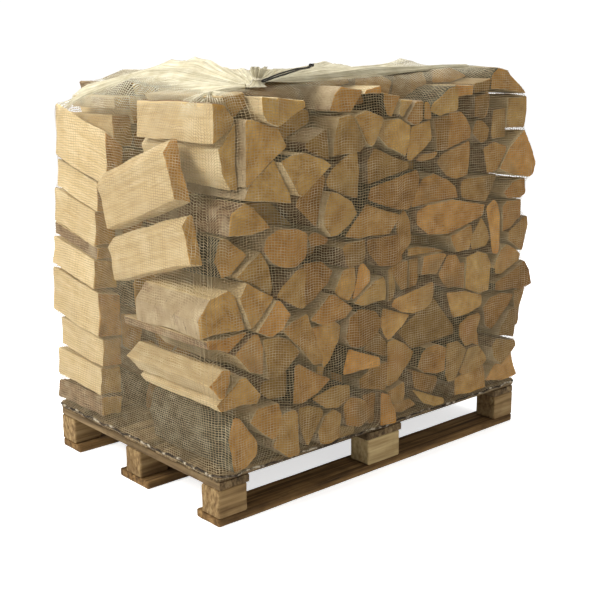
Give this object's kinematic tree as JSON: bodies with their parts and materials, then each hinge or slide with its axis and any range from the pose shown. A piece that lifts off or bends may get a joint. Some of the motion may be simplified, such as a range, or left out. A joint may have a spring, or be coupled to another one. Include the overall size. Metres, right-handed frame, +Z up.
{
  "type": "netted pallet of split birch firewood",
  "caption": "Wooden pallet stacked with split birch logs, ends facing outward, under a fine net gathered and tied at the top.",
  "frame": {"origin": "on the ground at the middle of the pallet, on the underside of the middle bottom board", "axes": "+Z up, +X along the pallet's long side, -Y towards the front row's log ends"},
  "size_m": [1.2961, 0.8856, 1.1537],
  "materials": {
    "weathered_board": "rough-sawn softwood, worn and weathered",
    "block_wood": "pale sawn block with end grain",
    "split_birch": "split and sawn birch with some bark, matte",
    "net": "fine knitted plastic net, off-white",
    "drawstring": "black braided cord, matte"
  },
  "bodies": {
    "root": {"back_logs_01": "split_birch", "back_logs_02": "split_birch", "back_logs_03": "split_birch", "back_logs_04": "split_birch", "back_logs_05": "split_birch", "back_logs_06": "split_birch", "back_logs_07": "split_birch", "back_logs_08": "split_birch", "back_logs_09": "split_birch", "back_logs_10": "split_birch", "back_logs_11": "split_birch", "back_logs_12": "split_birch", "block_far_centre": "block_wood", "block_far_left": "block_wood", "block_far_right": "block_wood", "block_middle_centre": "block_wood", "block_middle_left": "block_wood", "block_middle_right": "block_wood", "block_near_centre": "block_wood", "block_near_left": "block_wood", "block_near_right": "block_wood", "bottom_board_far": "weathered_board", "bottom_board_middle": "weathered_board", "bottom_board_near": "weathered_board", "deck_board_1": "weathered_board", "deck_board_2": "weathered_board", "deck_board_3": "weathered_board", "deck_board_4": "weathered_board", "deck_board_5": "weathered_board", "drawstring_far": "drawstring", "drawstring_knot": "drawstring", "drawstring_near": "drawstring", "front_logs_01": "split_birch", "front_logs_02": "split_birch", "front_logs_03": "split_birch", "front_logs_04": "split_birch", "front_logs_05": "split_birch", "front_logs_06": "split_birch", "front_logs_07": "split_birch", "front_logs_08": "split_birch", "front_logs_09": "split_birch", "front_logs_10": "split_birch", "front_logs_11": "split_birch", "front_logs_12": "split_birch", "front_logs_13": "split_birch", "front_logs_14": "split_birch", "leaning_log_lower": "split_birch", "leaning_log_upper": "split_birch", "left_logs_01": "split_birch", "left_logs_02": "split_birch", "left_logs_03": "split_birch", "net": "net", "net_neck": "net", "stringer_centre": "weathered_board", "stringer_left": "weathered_board", "stringer_right": "weathered_board"}
  },
  "joints": []
}
